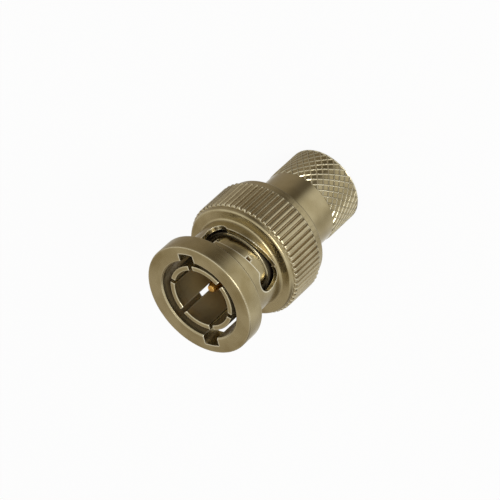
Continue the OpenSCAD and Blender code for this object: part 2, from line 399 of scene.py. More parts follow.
@dataclass(frozen=True)
class Plating:
    """Metal of a turned and plated piece, or of bare rolled strip, with tool rings and wear, and with shade
    painted into its recesses and highlights painted on its edges.

    Attributes:
        name: Name of the material.
        colour: Colour of the clean metal.
        worn: Colour of the duller patches, where handling has stained it.
        edge_wear_and_highlight: Colour of edges and ridges: partly wear that rubbing keeps bright, partly a
            painted highlight.
        film_and_shade: Colour laid in gaps and recesses: partly a dull film of tarnish where nothing rubs it
            off, partly painted shade.
        roughness: Roughness of the clean metal.
        ring_mm: Spacing of the tool rings. Real feed marks are about 0.05 mm apart, too fine to
            show here, so they are drawn coarser.
        ring_depth_mm: Depth of a tool ring.
        edge_mm: Rounding of the edges that tumbling and plating leave.
        gap_mm: Reach of the surroundings that shelter a point from rubbing and lay painted shade on it.
        sheltered: Shares of open surroundings at which the film and painted shade are whole, and have gone.
        rubbed_and_unshaded_mm: Depth behind the mating face to which the socket rubs the film off; deeper,
            the film and painted shade lie all over. Where it is 0, no place is left out.
        rub_and_shade_fade_mm: Length on each side of that depth over which the film and painted shade come
            in.
        edge_shares: Shares of closed surroundings, felt from within the metal, at which the painted
            highlight of an edge begins to show, and is bright all over.
        stain_mm: Size of the stained patches.
        film_roughness: Roughness where the film and painted shade lie, matt as dirt and tarnish are.
        film_metallic: How metallic the film is. It scatters light as no bare metal does.
    """

    name: str
    colour: str
    worn: str
    edge_wear_and_highlight: str
    film_and_shade: str
    roughness: float
    ring_mm: float = 0.16
    ring_depth_mm: float = 0.003
    edge_mm: float = 0.05
    gap_mm: float = 1.4
    sheltered: tuple[float, float] = (0.1, 0.75)
    rubbed_and_unshaded_mm: float = 0.0
    rub_and_shade_fade_mm: float = 0.5
    edge_shares: tuple[float, float] = (0.92, 0.6)
    stain_mm: float = 3.5
    film_roughness: float = 0.5
    film_metallic: float = 0.2

    def relief(self, tree: Tree, spot: Socket) -> tuple[Socket, Socket]:
        """Adds the tool rings: height that depends on radius and depth, with a trace of the angle.

        Args:
            tree: Node tree of the material.
            spot: Object coordinates.

        Returns:
            The height of the rings, and the normal that they give on rounded edges.
        """
        add = partial(add_node, tree)
        axes = add("SeparateXYZ", inputs={0: spot})
        flat = add("CombineXYZ", inputs={0: axes.outputs[0], 1: axes.outputs[1]})
        radius = add("VectorMath", {"operation": "LENGTH"}, {0: flat.outputs[0]})
        drift = add("Math", {"operation": "MULTIPLY"}, {0: axes.outputs[0], 1: 0.05})
        swept = {0: radius.outputs["Value"], 1: drift.outputs[0], 2: axes.outputs[2]}
        along = add("CombineXYZ", inputs=swept).outputs[0]
        rings = add("TexNoise", inputs={"Vector": along, "Scale": 1 / (self.ring_mm * MM), "Detail": 2.0})
        rounded = add("Bevel", {"samples": 4}, {"Radius": self.edge_mm * MM})
        bump = add(
            "Bump",
            inputs={
                "Strength": 0.5,
                "Distance": self.ring_depth_mm * MM,
                "Height": rings.outputs["Fac"],
                "Normal": rounded.outputs[0],
            },
        )
        return rings.outputs["Fac"], bump.outputs[0]

    def wear_shade_and_highlight(self, tree: Tree, spot: Socket) -> tuple[Socket, Socket]:
        """Finds where the metal is bare and free of painted shade: clear of gaps, and most of all on edges,
        which also take a painted highlight.

        Args:
            tree: Node tree of the material.
            spot: Object coordinates.

        Returns:
            Share of clean metal free of painted shade, and share of rubbed edge with its painted highlight.
        """
        add = partial(add_node, tree)
        smooth, times = {"interpolation_type": "SMOOTHSTEP"}, {"operation": "MULTIPLY"}
        # The occlusion of the surroundings lays the film and painted shade into gaps and recesses
        around = add("AmbientOcclusion", {"samples": 16}, {"Distance": self.gap_mm * MM}).outputs["AO"]
        whole, gone = self.sheltered
        clean_and_unshaded = add("MapRange", smooth, {0: around, "From Min": whole, "From Max": gone})
        # Deeper than the rubbed depth, the film and painted shade lie all over
        if self.rubbed_and_unshaded_mm:
            height = add("SeparateXYZ", inputs={0: spot}).outputs[2]
            end = LENGTH - self.rubbed_and_unshaded_mm
            low, high = (end - self.rub_and_shade_fade_mm) * MM, (end + self.rub_and_shade_fade_mm) * MM
            reached = add("MapRange", smooth, {0: height, "From Min": low, "From Max": high})
            clean_and_unshaded = add("Math", times, {0: clean_and_unshaded.outputs[0], 1: reached.outputs[0]})
        # Seen from within the metal, only a point near an edge has open air close by
        near = {"Distance": 4 * self.edge_mm * MM}
        within = add("AmbientOcclusion", {"samples": 8, "inside": True}, near).outputs["AO"]
        begins, bright = self.edge_shares
        edge = add("MapRange", inputs={0: within, "From Min": begins, "From Max": bright})
        # Edges take a painted highlight, cut back where the surroundings are closed
        rubbed_and_highlit = add("Math", times, {0: edge.outputs[0], 1: around})
        return clean_and_unshaded.outputs[0], rubbed_and_highlit.outputs[0]

    def tone(self, tree: Tree, spot: Socket, clean_and_unshaded: Socket, rubbed_and_highlit: Socket) -> Socket:
        """Mixes the colour: stains on the metal, then the film and painted shade in the gaps, then edges
        made bright by wear and a painted highlight.

        Args:
            tree: Node tree of the material.
            spot: Object coordinates.
            clean_and_unshaded: Share of clean metal, free of painted shade.
            rubbed_and_highlit: Share of rubbed edge, which takes a painted highlight.

        Returns:
            The colour.
        """
        add = partial(add_node, tree)
        patches = add("TexNoise", inputs={"Vector": spot, "Scale": 1 / (self.stain_mm * MM), "Detail": 4.0})
        stain = add("MapRange", inputs={0: patches.outputs["Fac"], "From Min": 0.42, "From Max": 0.68})
        colour: Socket | Colour = linear(self.colour)
        layers = ((stain.outputs[0], self.worn), (clean_and_unshaded, None), (rubbed_and_highlit, self.edge_wear_and_highlight))
        for share, over in layers:
            # Where the metal isn't clean, the film and painted shade lie over what has been mixed so far
            under, top = (colour, linear(over)) if over else (linear(self.film_and_shade), colour)
            colour = add("Mix", {"data_type": "RGBA"}, {0: share, 6: under, 7: top}).outputs[2]
        return colour

    def make(self) -> Material:
        """Builds the material.

        Returns:
            The metal.
        """
        material, tree = new_tree(self.name)
        add = partial(add_node, tree)
        spot = add("TexCoord").outputs["Object"]
        rings, normal = self.relief(tree, spot)
        clean_and_unshaded, rubbed_and_highlit = self.wear_shade_and_highlight(tree, spot)
        bare = add("Math", {"operation": "MAXIMUM"}, {0: clean_and_unshaded, 1: rubbed_and_highlit}).outputs[0]
        low, high = self.roughness * 0.85, self.roughness * 1.25
        ringed = {0: rings, "From Min": 0.3, "From Max": 0.7, "To Min": low, "To Max": high}
        plate = add("MapRange", inputs=ringed).outputs[0]
        matt = add("MapRange", inputs={0: bare, "To Min": self.film_roughness, "To Max": plate})
        metal = add("MapRange", inputs={0: bare, "To Min": self.film_metallic, "To Max": 1.0})
        shader = add(
            "BsdfPrincipled",
            inputs={
                "Metallic": metal.outputs[0],
                "Base Color": self.tone(tree, spot, clean_and_unshaded, rubbed_and_highlit),
                "Roughness": matt.outputs[0],
                "Normal": normal,
            },
        )
        add("OutputMaterial", inputs={"Surface": shader.outputs[0]})
        return material


@dataclass(frozen=True)
class Moulding:
    """Soft or waxy polymer with a faint grain.

    Attributes:
        name: Name of the material.
        colour: Main colour.
        shade: Colour of the low spots of the grain.
        roughness: Mean roughness.
        grain_mm: Spacing of the grain. The real one is under 0.1 mm, too fine to show here, so it
            is drawn coarser.
        ior: Index of refraction.
        subsurface: Share of light scattered below the surface.
    """

    name: str
    colour: str
    shade: str
    roughness: float
    grain_mm: float
    ior: float
    subsurface: float = 0.0

    def make(self) -> Material:
        """Builds the material.

        Returns:
            The polymer.
        """
        material, tree = new_tree(self.name)
        add = partial(add_node, tree)
        spot = add("TexCoord").outputs["Object"]
        scale = 1 / (self.grain_mm * MM)
        grain = add("TexNoise", inputs={"Vector": spot, "Scale": scale, "Detail": 4.0}).outputs["Fac"]
        tones = {0: grain, 6: linear(self.shade), 7: linear(self.colour)}
        tone = add("Mix", {"data_type": "RGBA"}, tones)
        relief = add("Bump", inputs={"Strength": 0.3, "Distance": 0.01 * MM, "Height": grain})
        shader = add(
            "BsdfPrincipled",
            inputs={
                "Base Color": tone.outputs[2],
                "Roughness": self.roughness,
                "IOR": self.ior,
                "Subsurface Weight": self.subsurface,
                "Subsurface Scale": 0.3 * MM,
                "Normal": relief.outputs[0],
            },
        )
        add("OutputMaterial", inputs={"Surface": shader.outputs[0]})
        return material


# Nickel over turned brass, tumbled: a satin skin in which the pale plate has gone olive with handling, with
# painted shade in its gaps and a painted highlight on its edges
NICKEL = Plating(
    name="satin_nickel_plate_on_turned_brass",
    colour="b0a37f",
    worn="978862",
    edge_wear_and_highlight="f2ecd4",
    film_and_shade="8a7048",
    roughness=0.26,
    sheltered=(0.15, 0.85),
)
# The same plate over polished brass: closer reflections and shallower tool rings, with dark brown painted
# shade in its gaps and a painted highlight on its edges
BRIGHT_NICKEL = Plating(
    name="bright_nickel_plate_on_polished_brass",
    colour="b0a37f",
    worn="9c8e69",
    edge_wear_and_highlight="e6e0c6",
    film_and_shade="3a2818",
    roughness=0.16,
    ring_depth_mm=0.0015,
)
# The same plate on the contact, bright where the socket rubs it, with near-black painted shade inside the
# nut
TIP_NICKEL = replace(
    BRIGHT_NICKEL,
    name="rubbed_nickel_plate_on_turned_brass",
    film_and_shade="1c120c",
    roughness=0.2,
    edge_mm=0.06,
    sheltered=(0.16, 0.6),
    rubbed_and_unshaded_mm=7.3,
)
# The same plate in a drilled tube, where it has tarnished to a smooth brown that light hardly reaches, with
# a painted highlight on its edges
TUBE_NICKEL = Plating(
    name="tarnished_nickel_plate_in_a_drilled_tube",
    colour="a4997a",
    worn="94875f",
    edge_wear_and_highlight="cfc8ae",
    film_and_shade="a48b5a",
    roughness=0.3,
    ring_depth_mm=0.0004,
    gap_mm=6.0,
    sheltered=(0.25, 0.85),
)
# Hard gold over turned brass: a deep yellow metal that stays clean, with brown painted shade in its gaps and
# a painted highlight on its edges
GOLD = Plating(
    name="hard_gold_plate_on_turned_brass",
    colour="cfa258",
    worn="b07c34",
    edge_wear_and_highlight="ecc97c",
    film_and_shade="8a5a24",
    roughness=0.2,
    ring_mm=0.12,
    edge_mm=0.03,
)
# Rolled spring steel: grey, with the grain of the rolls, drawn coarser than it is, with dark painted shade
# in its gaps and a painted highlight on its edges
STEEL = Plating(
    name="rolled_spring_steel_strip",
    colour="8e8b84",
    worn="726e66",
    edge_wear_and_highlight="b4b1a8",
    film_and_shade="2a2622",
    roughness=0.3,
    ring_mm=0.3,
    edge_mm=0.03,
)
# Moulded silicone rubber: near black, with the soft sheen and fine grain of its mould
RUBBER = Moulding("moulded_silicone_rubber", "3a3432", "262120", roughness=0.55, grain_mm=0.25, ior=1.41)
# Turned PTFE: a waxy, slightly translucent white
PTFE = Moulding("turned_ptfe", "ece8de", "dcd6c8", roughness=0.42, grain_mm=0.4, ior=1.35, subsurface=0.2)


@dataclass(frozen=True)
class CouplingNut:
    """Quarter-turn nut: flange, slotted neck, collar, straight knurl and plain rear rim."""

    length: float = 14.25
    flange_r: float = 6.9
    flange_length: float = 2.6
    front_round: float = 0.15
    rear_chamfer: float = 0.4
    neck_r: float = 5.45
    neck_fillet: float = 0.35
    collar_depth: float = 7.8
    collar_r: float = 6.9
    collar_round: float = 0.35
    knurl_depth: float = 8.85
    knurl_end: float = 12.9
    knurl_r: float = 7.2
    knurl_chamfer: float = 0.45
    teeth: int = 62
    tooth_height: float = 0.27
    tooth_columns: int = 6
    crest_drop: float = 0.035
    rim_r: float = 6.7
    rim_round: float = 0.2
    mouth_r: float = 4.95
    mouth_chamfer: float = 0.15
    chamber_r: float = 5.98
    chamber_depth: float = 9.3
    groove_r: float = 6.23
    groove: tuple[float, float] = (12.75, 13.3)
    slot_width: float = 2.4
    channel_r: float = 5.95
    channel_depth: float = 6.75
    ramp_depth: float = 5.25
    ramp_gain: float = 1.05
    ramp_end_deg: float = 83.6
    pocket_r: float = 1.5
    pocket_depth: float = 5.9

    @property
    def tooth_step(self) -> float:
        """Angle between the drawn lines of the knurl."""
        return FULL_TURN / self.teeth / self.tooth_columns

    def outline(self) -> list[Point]:
        """Gives the section of the blank, from the mouth round to the chamber.

        Returns:
            Closed outline of [radius, depth] points.
        """
        front, fillet, collar, rim = self.front_round, self.neck_fillet, self.collar_round, self.rim_round
        rise = self.knurl_r - self.collar_r
        return [
            (self.mouth_r, self.mouth_chamfer),
            (self.mouth_r + self.mouth_chamfer, 0.0),
            *arc((self.flange_r - front, front), front, -90, 0, steps=3),
            (self.flange_r, self.flange_length - self.rear_chamfer),
            (self.flange_r - self.rear_chamfer, self.flange_length),
            (self.neck_r, self.flange_length),
            *arc((self.neck_r + fillet, self.collar_depth - fillet), fillet, 180, 90),
            *arc((self.collar_r - collar, self.collar_depth + collar), collar, -90, 0),
            *arc((self.collar_r, self.knurl_depth - self.knurl_chamfer + rise), rise, -90, 0),
            (self.knurl_r, self.knurl_end),
            (self.rim_r, self.knurl_end + self.knurl_chamfer),
            *arc((self.rim_r - rim, self.length - rim), rim, 0, 90),
            (self.chamber_r, self.length),
            (self.chamber_r, self.groove[1]),
            (self.groove_r, self.groove[1]),
            (self.groove_r, self.groove[0]),
            (self.chamber_r, self.groove[0]),
            (self.chamber_r, self.chamber_depth),
            (self.mouth_r, self.chamber_depth),
        ]

    def from_valley(self, co: Vector) -> float:
        """Gives a point's place across a tooth, from 0 in a valley's middle to 0.5 on a crest."""
        share = math.atan2(co.y, co.x) / FULL_TURN * self.teeth
        return abs(share % 1 - 0.5)

    def press_knurl(self, piece: Piece) -> None:
        """Presses the straight knurl into the blank: flat valleys between crests with rounded sides.

        Args:
            piece: Turned blank of the nut.
        """
        valley = self.knurl_r - self.tooth_height
        # Lines across a tooth, by their place from the valley's middle, and the radius they keep to
        bands = ((-1.0, 0.15, valley), (0.15, 0.35, self.knurl_r - self.crest_drop))
        rows = sorted({r for r, depth in self.outline() if r > valley + MERGE})
        with editing(piece):
            for row in rows:
                for near, far, limit in bands:
                    if row <= limit:
                        continue
                    select(
                        Element.POINT,
                        lambda co: near < self.from_valley(co) < far and abs(co.xy.length - row) < 5 * MERGE,
                    )
                    scale = limit / row
                    bpy.ops.transform.resize(value=(scale, scale, 1), center_override=CENTRE)

    def channel_cutter(self) -> Piece:
        """Models the two entry channels as one round-ended bar across the mouth.

        Returns:
            Closed cutter, no deeper into the flange than the channels' floors.
        """
        radius = self.slot_width / 2
        end = LENGTH - self.channel_depth + radius
        reach = 2 * self.flange_r
        bar = primitive(bpy.ops.mesh.primitive_circle_add, vertices=48, radius=radius, fill_type="NGON")
        with editing(bar):
            bpy.ops.mesh.select_all(action="SELECT")
            turn_selection(-QUARTER_TURN, "X")
            turn_selection(-QUARTER_TURN)
            bpy.ops.transform.translate(value=(-reach / 2, 0, end))
            bpy.ops.mesh.extrude_region_move(TRANSFORM_OT_translate={"value": (reach, 0, 0)})
            # The upper half is drawn out through the mouth, and the lower stays as the round end
            select(Element.POINT, lambda co: co.z > end + radius / 2)
            bpy.ops.transform.translate(value=(0, 0, self.channel_depth))
            tidy_shell()
        floors = primitive(
            bpy.ops.mesh.primitive_cylinder_add,
            vertices=192,
            radius=self.channel_r,
            depth=4 * LENGTH,
            end_fill_type="NGON",
        )
        cut(bar, floors, Cut.KEEP)
        return bar

    def ramp_cutter(self, side: float) -> Piece:
        """Models one cam slot: a bar swept round the neck, deeper as it goes.

        Args:
            side: Angle of the entry channel that the slot leaves, in radians.

        Returns:
            Closed cutter.
        """
        steps = round(math.radians(self.ramp_end_deg) / self.tooth_step)
        inner, outer = self.mouth_r - 0.5, self.neck_r + 0.5
        bar = primitive(bpy.ops.mesh.primitive_plane_add, size=1)
        with editing(bar):
            bpy.ops.transform.resize(value=(outer - inner, self.slot_width, 1))
            turn_selection(-QUARTER_TURN, "X")
            bpy.ops.transform.translate(value=((outer + inner) / 2, 0, LENGTH - self.ramp_depth))
            before = 0.0
            for step in range(1, steps + 1):
                gain = self.ramp_gain * (step / steps) ** 2
                bpy.ops.mesh.extrude_region_move(TRANSFORM_OT_translate={"value": (0, 0, before - gain)})
                turn_selection(-self.tooth_step)
                before = gain
            tidy_shell()
            bpy.ops.mesh.select_all(action="SELECT")
            turn_selection(side)
        return bar

    def pocket_cutter(self, side: float) -> Piece:
        """Models the round locking pocket at the end of a cam slot.

        Args:
            side: Angle of the entry channel that the slot leaves, in radians.

        Returns:
            Closed cutter.
        """
        angle = side - QUARTER_TURN
        x, y = self.neck_r * math.cos(angle), self.neck_r * math.sin(angle)
        return primitive(
            bpy.ops.mesh.primitive_cylinder_add,
            vertices=56,
            radius=self.pocket_r,
            depth=2,
            location=(x, y, LENGTH - self.pocket_depth),
            rotation=(0, QUARTER_TURN, angle),
        )

    def build(self) -> Piece:
        """Models the nut.

        Returns:
            The finished nut, in millimetres.
        """
        piece = turn("nut", self.outline(), self.tooth_columns * self.teeth, start=self.tooth_step / 2)
        self.press_knurl(piece)
        cut(piece, self.channel_cutter())
        for side in (0.0, math.pi):
            cut(piece, self.ramp_cutter(side))
            cut(piece, self.pocket_cutter(side))
        return piece

    def fit(self) -> None:
        """Builds, dresses and places the nut."""
        piece = self.build()
        dress(piece, NICKEL.make())
        place(piece, "coupling_nut", Body.NUT)


@dataclass(frozen=True)
class DiamondKnurl:
    """Diamond knurl of the cable end: two sets of narrow helical ridges that cross.

    Attributes:
        radius: Radius over the ridges.
        height: Height of the ridges over the diamonds between them.
        starts: Helical ridges each way.
        rows: Half diamonds along the knurl.
        length: Length of the knurl.
        margin: Plain length between the knurl and the rear face.
        flank: Width of a ridge's sloping side.
        back: Width of the rounded back of a ridge.
    """

    radius: float = 4.75
    height: float = 0.09
    starts: int = 32
    rows: int = 9
    length: float = 4.85
    margin: float = 0.2
    flank: float = 0.11
    back: float = 0.09

    @property
    def root(self) -> float:
        """Radius at the floor of the diamonds."""
        return self.radius - self.height

    def depths(self) -> list[float]:
        """Gives the depths of the rows, from the barrel to the rear face."""
        start = LENGTH - self.margin - self.length
        return [start + self.length * row / self.rows for row in range(self.rows + 1)]

    def place_in_cell(self, co: Vector) -> tuple[float, float]:
        """Finds a point's place in the lattice of half diamonds.

        Args:
            co: A point near the knurl.

        Returns:
            Column and row, whole at the corners of the lattice.
        """
        column = math.atan2(co.y, co.x) / FULL_TURN * 2 * self.starts
        row = (co.z - self.margin) / self.length * self.rows + 1
        return column, row

    def on_band(self, co: Vector) -> bool:
        """Tells whether a point lies on the knurled band."""
        outside = co.xy.length > self.root - self.height
        return outside and self.margin - MERGE < co.z < self.margin + self.length + MERGE

    def inside(self, co: Vector) -> bool:
        """Tells whether a point lies on the band and clear of its two ends."""
        return self.on_band(co) and self.margin + MERGE < co.z < self.margin + self.length - MERGE

    def in_middle(self, co: Vector) -> bool:
        """Tells whether a point is the middle of a diamond.

        Args:
            co: A point near the knurl.

        Returns:
            True in the middle of a whole diamond, and of a half one at the band's end.
        """
        column, row = self.place_in_cell(co)
        whole = abs(column - round(column)) < 0.1 and abs(row - round(row)) < 0.1
        return self.on_band(co) and whole and (round(column) + round(row)) % 2 == 0

    def on_ridge(self, co: Vector) -> bool:
        """Tells whether a point lies on a ridge, clear of the band's ends."""
        return self.inside(co) and co.xy.length > self.radius - MERGE * 10

    def press(self, piece: Piece) -> None:
        """Presses the diamonds into a turned band that has a column for each half diamond.

        Args:
            piece: Turned blank of the body.
        """
        with editing(piece):
            select(Element.POINT, self.on_band)
            bpy.ops.mesh.poke(offset=0)
            # The poked middles lie on the chord, so they are brought out to the ridges' radius
            select(Element.POINT, lambda co: self.on_band(co) and co.xy.length < self.radius - MERGE / 10)
            out = 1 / math.cos(math.pi / 2 / self.starts / 2)
            bpy.ops.transform.resize(value=(out, out, 1), center_override=CENTRE)
            # Without the edges that meet in its middle, the triangles of a diamond are one face
            select(
                Element.EDGE,
                lambda *ends: any(map(self.in_middle, ends)) and any(map(self.inside, ends)),
            )
            bpy.ops.mesh.dissolve_edges(use_verts=False)
            select(Element.FACE, lambda *corners: all(map(self.on_band, corners)))
            bpy.ops.mesh.inset(thickness=self.flank, depth=-self.height, use_individual=True)
            select(Element.EDGE, lambda *ends: all(map(self.on_ridge, ends)))
            bpy.ops.mesh.bevel(offset=self.back / 2, offset_type="OFFSET", segments=3, affect="EDGES")


@dataclass(frozen=True)
class PlugBody:
    """Turned body: shoulder inside the nut, plain barrel, knurled cable end and threaded bore."""

    knurl: DiamondKnurl = DiamondKnurl()
    shoulder: tuple[float, float] = (9.35, 10.7)
    shoulder_r: float = 5.9
    barrel_r: float = 4.65
    seat_r: float = 4.15
    seat_end: float = 12.0
    passage_r: float = 2.6
    bore_r: float = 3.75
    bore_depth: float = 7.8
    drill_half_angle_deg: float = 59.0
    lead_in: float = 0.25
    edge: float = 0.08
    thread_pitch: float = 0.9
    thread_height: float = 0.28
    thread_open: float = 0.8

    def outline(self) -> list[Point]:
        """Gives the section of the body.

        Returns:
            Closed outline of [radius, depth] points.
        """
        front, back = self.shoulder
        cone = (self.bore_r - self.passage_r) / math.tan(math.radians(self.drill_half_angle_deg))
        first, *rows = self.knurl.depths()
        return [
            (self.seat_r, front),
            (self.shoulder_r - self.edge, front),
            (self.shoulder_r, front + self.edge),
            (self.shoulder_r, back - self.edge),
            (self.shoulder_r - self.edge, back),
            (self.barrel_r + self.edge, back),
            (self.barrel_r, back + self.edge),
            # The ridges rise from the barrel over the first row
            (self.barrel_r, first),
            *[(self.knurl.radius, depth) for depth in rows],
            (self.knurl.root - self.knurl.margin, LENGTH),
            (self.bore_r + self.lead_in, LENGTH),
            (self.bore_r, LENGTH - self.lead_in),
            (self.bore_r, LENGTH - self.bore_depth),
            (self.passage_r, LENGTH - self.bore_depth - cone),
            (self.passage_r, self.seat_end),
            (self.seat_r, self.seat_end),
        ]

    def thread_cutter(self) -> Piece:
        """Models the cable thread as one helical V, which is cut into the bore's wall.

        Returns:
            Closed cutter.
        """
        turns = math.ceil(self.bore_depth / self.thread_pitch)
        overlap = self.thread_height / 4
        depth = self.thread_height + overlap
        # Width and height of the triangle that the primitive gives, which has a radius of 1
        width, height = 2 * math.sqrt(0.75), 1.5
        groove = primitive(bpy.ops.mesh.primitive_circle_add, vertices=3, radius=1)
        with editing(groove):
            # The triangle lies flat with one corner on +Y: it is stood up with that corner outwards
            turn_selection(-QUARTER_TURN)
            turn_selection(-QUARTER_TURN, "X")
            opening = self.thread_pitch * self.thread_open / width
            bpy.ops.transform.resize(value=(depth / height, 1, opening))
            bpy.ops.transform.translate(value=(self.bore_r - overlap + depth / 3, 0, -self.thread_pitch))
        activate(groove)
        bpy.ops.object.modifier_add(type="SCREW")
        screw = groove.modifiers[-1]
        screw.axis, screw.screw_offset, screw.iterations = "Z", self.thread_pitch, turns
        screw.steps = screw.render_steps = 64
        screw.use_merge_vertices = False
        bpy.ops.object.modifier_apply(modifier=screw.name)
        with editing(groove):
            bpy.ops.mesh.select_all(action="SELECT")
            bpy.ops.mesh.fill_holes(sides=3)
            tidy_shell()
        return groove

    def build(self) -> Piece:
        """Models the body.

        Returns:
            The finished body, in millimetres.
        """
        piece = turn("plug_shell", self.outline(), 2 * self.knurl.starts)
        self.knurl.press(piece)
        cut(piece, self.thread_cutter())
        return piece

    def fit(self) -> None:
        """Builds, dresses and places the body."""
        piece = self.build()
        dress(piece, BRIGHT_NICKEL.make())
        place(piece, "body", Body.PLUG, smooth_deg=20)


@dataclass(frozen=True)
class OuterContact:
    """Springy slotted tube that grips inside the socket."""

    outer_r: float = 4.15
    wall: float = 0.6
    setback: float = 0.4
    tip_round: float = 0.1
    collar: tuple[float, float] = (6.95, 9.35)
    collar_r: float = 4.35
    end: float = 12.0
    slots: int = 6
    slot_width: float = 0.55
    slot_length: float = 5.6
    slot_turn_deg: float = 3.5
    edge: float = 0.05

    def outline(self) -> list[Point]:
        """Gives the section of the tube.

        Returns:
            Closed outline of [radius, depth] points.
        """
        inner, tip = self.outer_r - self.wall, self.setback + self.tip_round
        seat, back = self.collar
        rise = self.collar_r - self.outer_r
        return [
            (inner, self.end),
            *arc((inner + self.tip_round, tip), self.tip_round, -180, -90),
            *arc((self.outer_r - self.tip_round, tip), self.tip_round, -90, 0),
            *arc((self.outer_r, seat + rise), rise, -90, 0),
            (self.collar_r, back),
            (self.outer_r, back),
            (self.outer_r, self.end),
        ]

    def build(self) -> Piece:
        """Models the contact.

        Returns:
            The finished contact, in millimetres.
        """
        piece = turn("slotted_contact", self.outline(), steps=144)
        reach = self.setback + self.slot_length
        for slot in range(self.slots // 2):
            angle = math.radians(self.slot_turn_deg) + slot * FULL_TURN / self.slots
            saw(piece, (4 * self.outer_r, self.slot_width, 2 * reach), (0, 0, LENGTH), angle)
        soften(piece, self.edge)
        return piece

    def fit(self) -> None:
        """Builds, dresses and places the contact, whose drilled inside has a finish of its own."""
        piece = self.build()
        dress(piece, TIP_NICKEL.make(), TUBE_NICKEL.make())
        bore_r = self.outer_r - self.wall + self.edge / 2
        with editing(piece):
            select(Element.POINT, lambda co: co.xy.length < bore_r)
            piece.active_material_index = 1
            bpy.ops.object.material_slot_assign()
        place(piece, "outer_contact", Body.PLUG)


@dataclass(frozen=True)
class CentrePin:
    """Gilt pin with a tapered tip and a cup for the cable's conductor."""

    radius: float = 0.675
    setback: float = 2.2
    tip_r: float = 0.45
    tip_dome: float = 0.05
    tip_round: float = 0.12
    taper: float = 0.8
    shank_r: float = 0.95
    shank: tuple[float, float] = (8.0, 14.4)
    cup_r: float = 0.5
    cup_depth: float = 3.0
    hole_r: float = 0.2
    hole_behind: float = 1.2

    def outline(self) -> list[Point]:
        """Gives the section of the pin, from the tip's middle to the middle of the cup.

        Returns:
            Outline of [radius, depth] points that starts and ends on the axis.
        """
        front, back = self.shank
        tip = self.setback + self.tip_dome
        return [
            (0.0, self.setback),
            # The dome is as deep as the square of the radius: a ninth of it at a third of the way
            (self.tip_r / 3, self.setback + self.tip_dome / 9),
            *arc((self.tip_r - self.tip_round, tip + self.tip_round), self.tip_round, -80, -25, steps=3),
            (self.radius - self.tip_round / 4, self.setback + self.taper - self.tip_round),
            (self.radius, self.setback + self.taper + self.tip_round),
            (self.radius, front),
            (self.shank_r, front),
            (self.shank_r, back - self.tip_round),
            (self.shank_r - self.tip_round, back),
            (self.cup_r + self.tip_round, back),
            (self.cup_r, back - self.tip_round),
            (self.cup_r, back - self.cup_depth),
            (0.0, back - self.cup_depth),
        ]

    def build(self) -> Piece:
        """Models the pin, with the small hole into its cup through which solder is fed and seen.

        Returns:
            The finished pin, in millimetres.
        """
        piece = turn("gilt_pin", self.outline(), steps=64, closed=False)
        drill = primitive(
            bpy.ops.mesh.primitive_cylinder_add,
            vertices=24,
            radius=self.hole_r,
            depth=self.shank_r,
            location=(self.shank_r, 0, LENGTH - self.shank[1] + self.hole_behind),
            rotation=(0, QUARTER_TURN, 0),
        )
        cut(piece, drill)
        return piece

    def fit(self) -> None:
        """Builds, dresses and places the pin."""
        piece = self.build()
        dress(piece, GOLD.make())
        place(piece, "centre_pin", Body.PLUG)


@dataclass(frozen=True)
class Ring:
    """A plain turned ring with rounded corners, such as a washer or a seal.

    Attributes:
        name: Name of the piece.
        inner: Inner radius.
        outer: Outer radius.
        front: Depth of the front face.
        thickness: Thickness along the axis.
        rounding: Radius of its four corners.
    """

    name: str
    inner: float
    outer: float
    front: float
    thickness: float
    rounding: float

    def build(self) -> Piece:
        """Models the ring.

        Returns:
            The finished ring, in millimetres.
        """
        r = self.rounding
        back = self.front + self.thickness
        corners = (
            (self.inner + r, self.front + r, 180),
            (self.outer - r, self.front + r, -90),
            (self.outer - r, back - r, 0),
            (self.inner + r, back - r, 90),
        )
        outline = [point for x, y, start in corners for point in arc((x, y), r, start, start + 90, steps=3)]
        return turn(self.name, outline, RING_STEPS)


